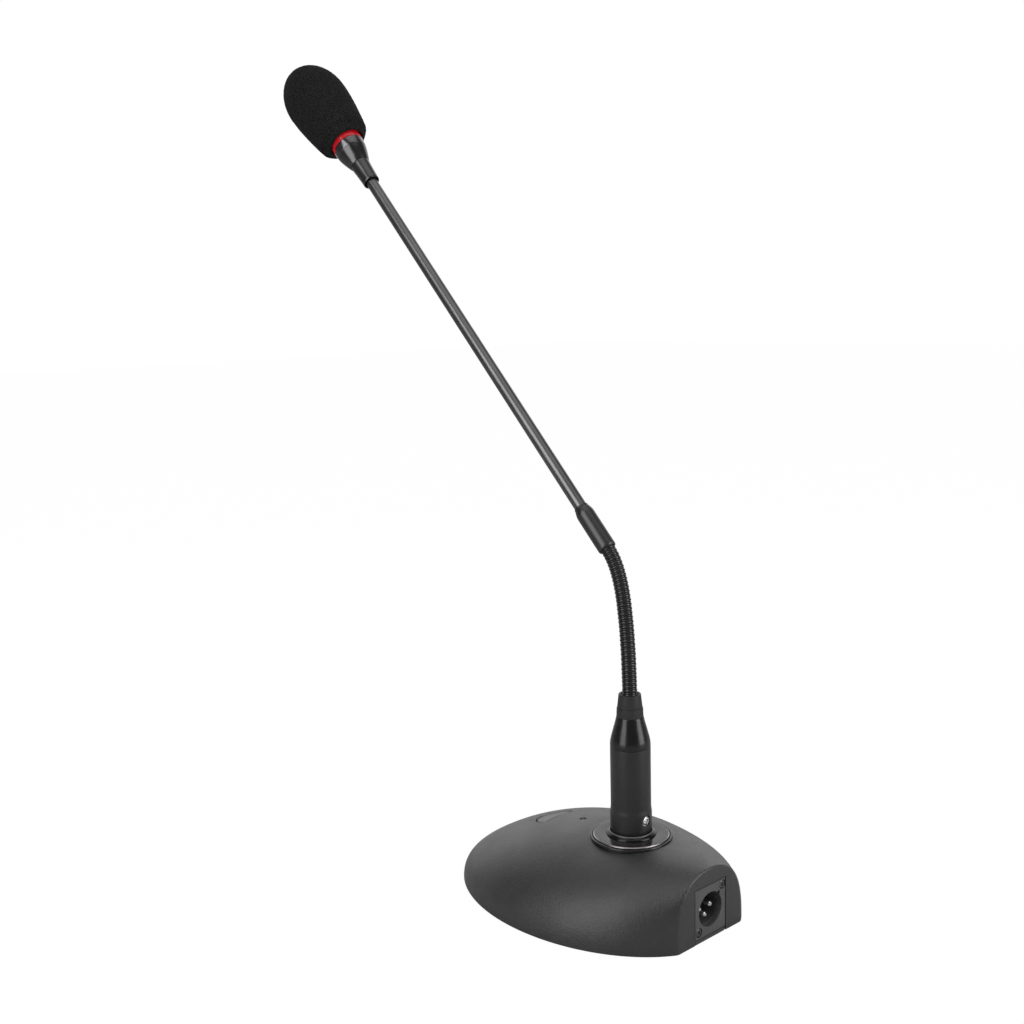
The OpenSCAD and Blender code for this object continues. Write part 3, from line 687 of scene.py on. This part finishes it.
def set_screw(m):
    """Domed screw with a cross recess in the side of the barrel."""
    middle = CENTRE + UP * SCREW_Z * MM
    outline = rounded([(0, 8), (1.6, 8), (1.6, 9.46), (2.1, 9.46), (2.1, 10.05), (1.2, 10.32),
                       (0, 10.35)],
                      [0, 0, 0, 0.1, 0.25, 0.3, 0])
    piece = lathe("side_screw", outline, middle, BACK, 48)
    for turn in (25, 115):
        place = frame_to(middle, BACK) @ Matrix.Rotation(math.radians(turn), 4, "Z")
        slot = [(-1.65, -0.4), (1.65, -0.4), (1.65, 0.4), (-1.65, 0.4)]
        combine(piece, prism("slot", slot, 9.3, 11, place))
    shade(piece, 30)
    finish_piece(piece, "stem", ["set_screw"], m["screw"])


# ---------- neck ----------
TURN, TURN_ROWS, NECK_STEPS = 2.2, 14, 48
CORE_R, WIDE_SHARE, WIDE_RISE, NARROW_RISE = 3.33, 0.64, 0.42, 0.28


def rib(f):
    """Radius of the two wound wires at share f of one turn: a wide one, then a narrow one."""
    wide = f < WIDE_SHARE
    share = f / WIDE_SHARE if wide else (f - WIDE_SHARE) / (1 - WIDE_SHARE)
    rise = WIDE_RISE if wide else NARROW_RISE
    return CORE_R + rise * max(0.0, math.sin(math.pi * share)) ** 0.6


def bend_line(start, knee, end, first, last, n=16):
    """Points and directions on part of the curve from start to end that bends at knee."""
    line = []
    for i in range(n + 1):
        t = first + (last - first) * i / n
        along = ((1 - t) * (knee - start) + t * (end - knee)).normalized()
        line.append((bezier(start, knee, end, t), along))
    return line


def winding(index, line, seated):
    """Ribbed sleeve along points and directions. A seated one starts as a ball in the one below."""
    lengths = [0.0]
    for (a, _), (b, _) in zip(line, line[1:]):
        lengths.append(lengths[-1] + (b - a).length)
    rows = max(2, round(lengths[-1] / (TURN * MM))) * TURN_ROWS
    rings = []
    if seated:
        point, along = line[0]
        rings += [(point - along * CORE_R * MM * math.cos(a), along, CORE_R * math.sin(a))
                  for a in [math.pi / 2 * k / 6 for k in range(1, 6)]]
    k = 0
    for i in range(rows + 1):
        at = lengths[-1] * i / rows
        while k < len(line) - 2 and lengths[k + 1] < at:
            k += 1
        share = (at - lengths[k]) / (lengths[k + 1] - lengths[k])
        point = line[k][0].lerp(line[k + 1][0], share)
        along = line[k][1].lerp(line[k + 1][1], share).normalized()
        rings.append((point, along, rib(i / TURN_ROWS % 1.0)))
    verts, n = [], NECK_STEPS
    for point, along, r in rings:
        out = along.cross(ACROSS).normalized()
        verts += [point + r * MM * (math.cos(a) * ACROSS + math.sin(a) * out)
                  for a in [2 * math.pi * j / n for j in range(n)]]
    last = len(verts) - n
    faces = [(i + j, i + (j + 1) % n, i + n + (j + 1) % n, i + n + j)
             for i in range(0, last, n) for j in range(n)]
    faces += [tuple(range(n - 1, -1, -1)), tuple(last + j for j in range(n))]
    return new_mesh(f"neck_winding_{index}", verts, faces, 80)


def neck(m):
    """One stretch of winding for each body, cut at the pivots."""
    low = CENTRE + UP * (BOOT_TOP_Z - 5.8) * MM
    knots = [PIVOTS[0] - UP * 3.2 * MM]
    knots += [(a + b) / 2 for a, b in zip(PIVOTS, PIVOTS[1:])]
    knots += [ARM_START + ARM_DIR * 3.6 * MM]
    halves = [(bend_line(a, p, b, 0, 0.5), bend_line(a, p, b, 0.5, 1))
              for a, p, b in zip(knots, PIVOTS, knots[1:])]
    lines = [[(low, UP)] + halves[0][0]]
    lines += [one[1] + other[0][1:] for one, other in zip(halves, halves[1:])]
    lines += [halves[-1][1]]
    bodies = [NECK_JOINTS[0]["parent"]] + [j["child"] for j in NECK_JOINTS]
    nodes = ["gooseneck_root"] + [f"goose_{body}" for body in bodies[1:-1]] + ["gooseneck_end"]
    for k, (line, body, node) in enumerate(zip(lines, bodies, nodes)):
        finish_piece(winding(k, line, k > 0), body, [node], m["wire"])


# ---------- arm and head ----------
def on_arm(name, outline, sharp=38, steps=128):
    """Turned piece on the arm's line, measured from the ferrule's start."""
    return lathe(name, outline, FERRULE - ARM_DIR * 0.05 * MM, ARM_DIR, steps, sharp)


def arm_station(node):
    """Where a node starts on the arm's line, in mm as on_arm counts them."""
    return span(node, FERRULE, ARM_DIR)[0] / MM + 0.05


def ferrule(m):
    """Sleeve over the neck's end, tapered to a bead round the tube."""
    side = smooth_run([(4.66, 21.2), (4.55, 22.2), (4.3, 23.3), (3.98, 24.4), (3.75, 25.1)], 4)
    outline = [(3.75, 0.35), (3.95, 0.08), (4.2, 0.06), (4.42, 0.25), (4.6, 0.7), (4.66, 1.6),
               (4.66, 21.0)] + side
    outline += [(3.58, 25.2), (3.58, 25.45), (3.72, 25.5), (3.6, 25.98), (3.3, 26), (3.3, 14),
                (3.75, 13.8)]
    finish_piece(on_arm("neck_ferrule", outline, 50), "arm", ["ferrule"], m["ferrule"])


def tube(m):
    """Plain tube in short lengths."""
    start, end = 14.1, span("rigid_tube", FERRULE, ARM_DIR)[1] / MM
    outline = [(2.45, start)] + [(3.25, start + (end - start) * k / 24) for k in range(25)]
    outline += [(2.45, end)]
    finish_piece(on_arm("arm_tube", outline), "arm", ["rigid_tube"], m["tube"])


def head(m):
    """Sleeve, cone and band below the light ring."""
    u = arm_station("head_sleeve")
    side = smooth_run([(4.72, u + 0.25), (4.85, u + 4), (5.08, u + 8.5), (5.35, u + 12.5),
                       (5.48, u + 14.4)], 5)
    outline = [(4.15, u + 0.15), (4.3, u), (4.58, u)] + side
    outline += [(5.4, u + 14.58), (3.3, u + 14.58), (3.3, u + 9), (4.15, u + 8)]
    piece = on_arm("head_collar", outline, 50)
    finish_piece(piece, "arm", ["head_sleeve"], m["sleeve"])
    c = u + 14.6
    b = c + 9.8
    side = smooth_run([(5.65, c + 0.1), (6.6, c + 2.6), (7.85, c + 6.8), (8.55, b - 0.15)], 6)
    outline = [(3.2, c), (5.6, c)] + side
    outline += [(8.45, b - 0.02), (7.5, b - 0.02), (4.6, c + 3), (3.2, c + 3)]
    finish_piece(on_arm("head_flare", outline, 50), "arm", ["head_cone"], m["cone"])
    outline = rounded([(7.5, b), (8.6, b), (8.9, b + 2.2), (9.12, b + 4.85), (8.95, b + 5.08),
                       (7.5, b + 5.08)],
                      [0, 0.12, 2, 0.1, 0.1, 0])
    finish_piece(on_arm("head_hoop", outline), "arm", ["head_band"], m["band"])


def light_ring(m):
    u = arm_station("light_ring")
    outline = rounded([(8.6, u), (9.25, u), (9.25, u + 7.7), (8.6, u + 7.7)], [0, 0.3, 0.5, 0], 6)
    ring = on_arm("status_ring", outline, 60, 160)
    finish_piece(ring, "arm", ["light_ring"], m["ring"])


FOAM_OVERLAP, FOAM_SAG = 6.5, math.radians(2.8)
MOUTH_R, HEEL_R, FOAM_R = 9.6, 15.2, 18.6
HEEL_U, SHOULDER_U, TIP_U = 1.7, 34.1, 59.8


def foam(m):
    """Foam cap: a tapered egg with a grainy skin, sagging a little from the arm's line."""
    low = span("light_ring", FERRULE, ARM_DIR)[0] + FOAM_OVERLAP * MM
    origin = FERRULE + ARM_DIR * low
    axis = (Matrix.Rotation(FOAM_SAG, 3, "X") @ ARM_DIR).normalized()
    side = [(HEEL_R + (FOAM_R - HEEL_R) * math.sin(math.pi / 2 * k / 24),
             HEEL_U + (SHOULDER_U - HEEL_U) * k / 24) for k in range(25)]
    tip = [(FOAM_R * math.cos(a), SHOULDER_U + (TIP_U - SHOULDER_U) * math.sin(a))
           for a in [math.pi / 2 * k / 60 for k in range(1, 60)]]
    mouth = rounded([(MOUTH_R, 3.2), (MOUTH_R, -4.0), (10.9, -4.0), (12.4, -1.2), (14.4, 0.6),
                     (HEEL_R, HEEL_U)],
                    [0, 0.5, 0.8, 0.8, 1, 0], 6)[:-1]
    inner = [(0, 30), (9.3, 29.8), (9.3, 3.4)]
    outline = inner + mouth + side + tip + [(0, TIP_U)]
    dense = []
    for (r, u), (next_r, next_u) in zip(outline, outline[1:]):
        outside = max(r, next_r) > 9.4
        cuts = max(1, math.ceil(math.hypot(next_r - r, next_u - u) / 0.55)) if outside else 1
        dense += [(r + (next_r - r) * k / cuts, u + (next_u - u) * k / cuts) for k in range(cuts)]
    dense.append(outline[-1])
    piece = lathe("foam_cap", dense, origin, axis, 200, 80)
    roughen(piece, origin, axis)
    finish_piece(piece, "windscreen", ["foam_windscreen"], m["foam"])


def roughen(piece, origin, axis):
    """Moves the outer skin in and out by a fine grain, and a little by broad dents."""
    mesh = piece.data
    normals = [v.normal.copy() for v in mesh.vertices]
    for v, n in zip(mesh.vertices, normals):
        away = v.co - origin
        radius = (away - axis * away.dot(axis)).length
        if radius < 9.5 * MM and away.dot(axis) < SHOULDER_U * MM:
            continue
        grain = noise.noise(v.co * 1150) * 0.1 + noise.noise(v.co * 560) * 0.09
        dents = noise.noise(v.co * 60) * 0.16
        v.co += n * (grain + dents - 0.18) * MM
    mesh.update()


# ---------- carried-over CAD nodes ----------
def dress_cad(m):
    """Materials for the CAD nodes that no Blender piece stands for."""
    wanted = {
        "bottom_cover": "cover", "ballast_plate": "steel", "rubber_pad": "pad",
        "cover_screws": "black_screw", "socket_housing": "inner", "socket_insert": "inner",
        "socket_contacts": "brass", "socket_nut": "steel", "output_plate": "plate",
        "output_insert": "inner", "output_pins": "pin", "output_screws": "grey_screw",
        "status_led": "lens", "button_switch": "inner", "circuit_board": "board",
        "board_screws": "steel", "switch_plunger": "ivory", "plug_shell": "pin",
        "plug_insert": "inner", "plug_pins": "pin",
        "ring_led_board": "board", "capsule_housing": "sleeve", "capsule_gasket": "pad",
        "capsule": "capsule", "capsule_grille": "capsule",
    }
    for node, key in wanted.items():
        dress(NODES[node], m[key])


# ---------- studio ----------
LIGHT_DISTANCE = 1.3


def bearing(azimuth, elevation, distance):
    """Offset at an azimuth, in degrees from the camera's side towards its right."""
    side = UP.cross(TO_CAMERA)
    a, e = math.radians(azimuth), math.radians(elevation)
    flat = TO_CAMERA * math.cos(a) + side * math.sin(a)
    return (flat * math.cos(e) + UP * math.sin(e)) * distance


def floor():
    """Pale matt floor that the camera itself sees almost white."""
    size = 6.0
    verts = [(-size, -size, 0), (size, -size, 0), (size, size, 0), (-size, size, 0)]
    plane = new_mesh("floor", verts, [(0, 1, 2, 3)])
    s = Shader("pale_floor")
    s.colour((0.5, 0.5, 0.5), 0.004, 400.0, 20.0)
    s.roughness(0.9, 0.02, 300.0)
    s.set(spec=0.0)
    glow = s.tree.nodes.new("ShaderNodeEmission")
    glow.inputs["Strength"].default_value = 1.04
    path = s.tree.nodes.new("ShaderNodeLightPath")
    share = s.tree.nodes.new("ShaderNodeMath")
    share.operation = "MULTIPLY"
    share.inputs[1].default_value = 0.94
    mix = s.tree.nodes.new("ShaderNodeMixShader")
    s.link(path.outputs["Is Camera Ray"], share.inputs[0])
    s.link(share.outputs[0], mix.inputs["Fac"])
    s.link(s.base.outputs[0], mix.inputs[1])
    s.link(glow.outputs[0], mix.inputs[2])
    s.link(mix.outputs[0], s.tree.nodes["Material Output"].inputs["Surface"])
    dress(plane, s.material)


def softbox(name, azimuth, elevation, size, radiance):
    """Rectangular light that faces the object, as bright from any size."""
    data = bpy.data.lights.new(name, "AREA")
    data.shape = "RECTANGLE"
    data.size, data.size_y = size
    data.energy = radiance * math.pi * size[0] * size[1]
    obj = bpy.data.objects.new(name, data)
    bpy.context.scene.collection.objects.link(obj)
    middle = Vector((0, -0.03, 0.12))
    obj.location = middle + bearing(azimuth, elevation, LIGHT_DISTANCE)
    obj.rotation_euler = (middle - obj.location).to_track_quat("-Z", "Y").to_euler()
    obj.visible_camera = False


def world():
    """Dim room with a pale wall behind the object and a pale ceiling. The camera sees white."""
    w = bpy.data.worlds.new("studio")
    bpy.context.scene.world = w
    w.use_nodes = True
    tree = w.node_tree
    new = tree.nodes.new
    room = tree.nodes["Background"]
    room.inputs["Color"].default_value = (1, 1, 1, 1)
    where = new("ShaderNodeTexCoord").outputs["Generated"]

    def share(axis, start, end, amount):
        dot = new("ShaderNodeVectorMath")
        dot.operation = "DOT_PRODUCT"
        dot.inputs[1].default_value = axis
        tree.links.new(where, dot.inputs[0])
        ramp = new("ShaderNodeMapRange")
        ramp.interpolation_type = "SMOOTHSTEP"
        ramp.inputs["From Min"].default_value = start
        ramp.inputs["From Max"].default_value = end
        ramp.inputs["To Max"].default_value = amount
        tree.links.new(dot.outputs["Value"], ramp.inputs["Value"])
        return ramp.outputs["Result"]

    total = new("ShaderNodeMath")
    total.operation = "ADD"
    tree.links.new(share(-TO_CAMERA, 0.45, 0.8, 0.95), total.inputs[0])
    tree.links.new(share(UP, 0.8, 0.95, 0.9), total.inputs[1])
    lift = new("ShaderNodeMath")
    lift.operation = "ADD"
    lift.inputs[1].default_value = 0.12
    tree.links.new(total.outputs[0], lift.inputs[0])
    tree.links.new(lift.outputs[0], room.inputs["Strength"])
    seen = new("ShaderNodeBackground")
    seen.inputs["Color"].default_value = (1, 1, 1, 1)
    path = new("ShaderNodeLightPath")
    mix = new("ShaderNodeMixShader")
    tree.links.new(path.outputs["Is Camera Ray"], mix.inputs["Fac"])
    tree.links.new(room.outputs[0], mix.inputs[1])
    tree.links.new(seen.outputs[0], mix.inputs[2])
    tree.links.new(mix.outputs[0], tree.nodes["World Output"].inputs["Surface"])


def studio():
    floor()
    world()
    softbox("left_box", -48, 24, (0.75, 1.5), 2.9)
    softbox("right_box", 66, 20, (0.75, 1.3), 3.5)
    view = bpy.context.scene.view_settings
    view.view_transform = "Standard"
    view.look = "None"


# ---------- build ----------
make_camera()
materials = make_materials()
for make in (base_shell, talk_button, socket_bezel, socket_flange, socket_collar, barrel, shoulder,
             boot, set_screw, neck, ferrule, tube, head, light_ring, foam, dress_cad):
    make(materials)
studio()
